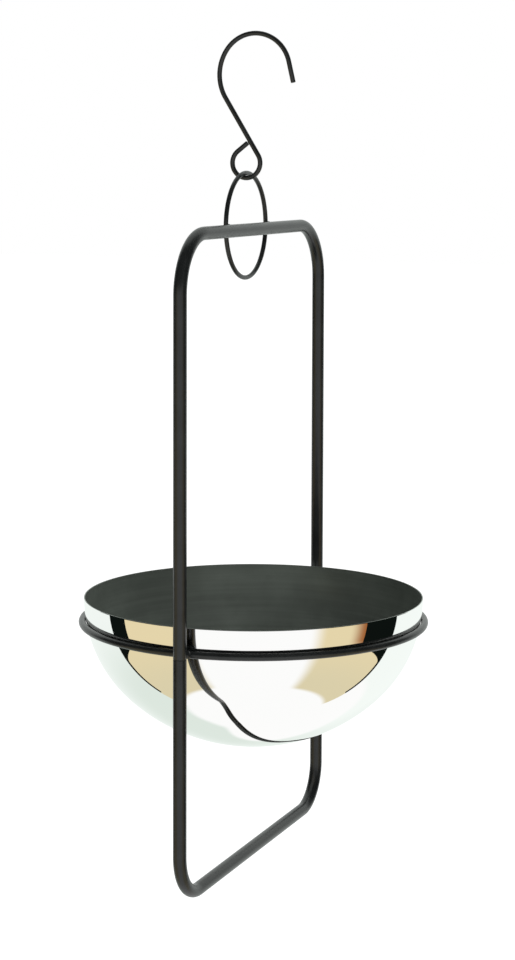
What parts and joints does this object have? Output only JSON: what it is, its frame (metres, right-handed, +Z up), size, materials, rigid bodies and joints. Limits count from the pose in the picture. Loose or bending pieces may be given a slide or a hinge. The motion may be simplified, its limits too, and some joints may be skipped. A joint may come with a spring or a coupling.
{
  "type": "hanging planter",
  "caption": "Hanging planter: a wire S-hook with an eye, a ring welded to a rectangular tube frame, and a loose polished bowl wedged in the frame's support ring.",
  "frame": {"origin": "the hook's seat: the underside of the wire at the top of the S-hook's crown", "axes": "+Z up; X runs across the frame, which stands in the XZ plane; the S-hook lies in the YZ plane with its mouth towards -Y, and the hanging ring is behind the frame at +Y"},
  "size_m": [0.295, 0.2744, 0.6485],
  "materials": {
    "black_powder_coat": "matte black powder coat on steel tube, rod and wire",
    "polished_steel": "mirror-polished stainless steel outside, dull dark finish inside",
    "plain_steel": "bare drawn steel"
  },
  "bodies": {
    "hook": {"s_hook": "black_powder_coat"},
    "hanger": {"hanging_ring": "black_powder_coat", "hanging_ring_weld_left": "black_powder_coat", "hanging_ring_weld_right": "black_powder_coat", "upper_frame": "black_powder_coat", "support_ring": "black_powder_coat", "support_ring_weld_left": "black_powder_coat", "support_ring_weld_right": "black_powder_coat"},
    "bowl": {"bowl": "polished_steel"},
    "lower_loop": {"lower_frame": "black_powder_coat", "left_leg_spigot": "plain_steel", "right_leg_spigot": "plain_steel"}
  },
  "joints": [
    {"name": "frame_swing", "type": "hinge", "parent": "hook", "child": "hanger", "pos_m": [0, 0.0071, -0.10605], "axis": [1, 0, 0], "range_deg": [-45, 45]},
    {"name": "bowl_lift", "type": "slide", "parent": "hanger", "child": "bowl", "axis": [0, 0, 1], "range_m": [0, 0.105]},
    {"name": "lower_frame_pull", "type": "slide", "parent": "hanger", "child": "lower_loop", "axis": [0, 0, -1], "range_m": [0, 0.026]}
  ]
}
